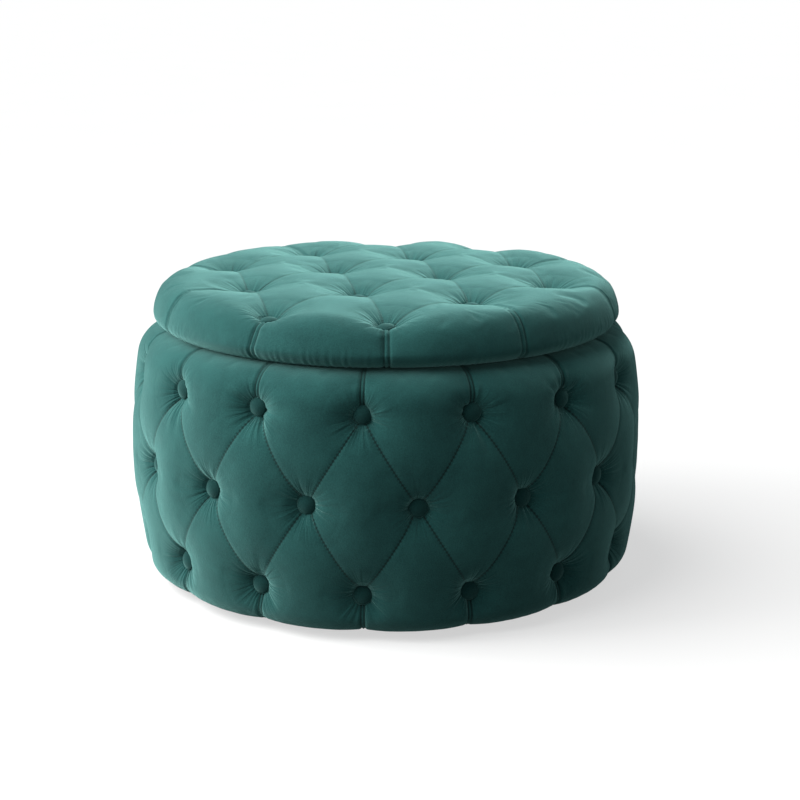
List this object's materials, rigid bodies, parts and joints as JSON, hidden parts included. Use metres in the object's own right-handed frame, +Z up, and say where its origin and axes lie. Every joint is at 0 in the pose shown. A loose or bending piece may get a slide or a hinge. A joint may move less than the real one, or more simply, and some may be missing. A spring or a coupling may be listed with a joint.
{
  "type": "ottoman with storage",
  "caption": "Round button-tufted velvet storage ottoman: barrel-shaped padded body with a lined store and a lift-off tufted lid.",
  "frame": {"origin": "on the floor, under the centre of the ottoman", "axes": "+Z up along the ottoman's axis and the way the lid lifts; -Y is the front"},
  "size_m": [0.6491, 0.6499, 0.386],
  "materials": {
    "velvet": "teal velvet pile",
    "button_velvet": "teal velvet over a shell",
    "lining": "black non-woven lining",
    "dust_cover_cloth": "black non-woven",
    "foam": "open-cell foam",
    "plywood": "sanded plywood",
    "softwood": "planed softwood",
    "hardboard": "smooth hardboard",
    "twine": "waxed twine",
    "anchor_plastic": "moulded",
    "glide_plastic": "moulded",
    "zinc_plated_steel": "zinc plated",
    "staple_wire": "galvanised wire"
  },
  "bodies": {
    "body": {"base_panel": "plywood", "upright_01": "softwood", "upright_02": "softwood", "upright_03": "softwood", "upright_04": "softwood", "upright_05": "softwood", "upright_06": "softwood", "upright_07": "softwood", "upright_08": "softwood", "upright_09": "softwood", "upright_10": "softwood", "top_ring": "plywood", "wall_skin": "hardboard", "liner_board": "hardboard", "frame_screws": "zinc_plated_steel", "wall_padding": "foam", "rim_padding": "foam", "body_cover": "velvet", "upper_row_buttons": "button_velvet", "middle_row_buttons": "button_velvet", "lower_row_buttons": "button_velvet", "button_twines": "twine", "twine_anchors": "anchor_plastic", "wall_lining": "lining", "floor_lining": "lining", "cover_staples": "staple_wire", "dust_cover": "dust_cover_cloth", "dust_cover_staples": "staple_wire", "glide_1": "glide_plastic", "glide_2": "glide_plastic", "glide_3": "glide_plastic", "glide_4": "glide_plastic", "glide_nails": "zinc_plated_steel"},
    "lid": {"lid_board": "plywood", "locating_disc": "plywood", "disc_screws": "zinc_plated_steel", "lid_padding": "foam", "lid_cover": "velvet", "lid_buttons": "button_velvet", "lid_twines": "twine", "lid_twine_anchors": "anchor_plastic", "lid_lining": "lining", "lid_cover_staples": "staple_wire", "lid_lining_staples": "staple_wire"}
  },
  "joints": [
    {"name": "lid_lift", "type": "slide", "parent": "body", "child": "lid", "axis": [0, 0, 1], "range_m": [0, 0.3]}
  ]
}
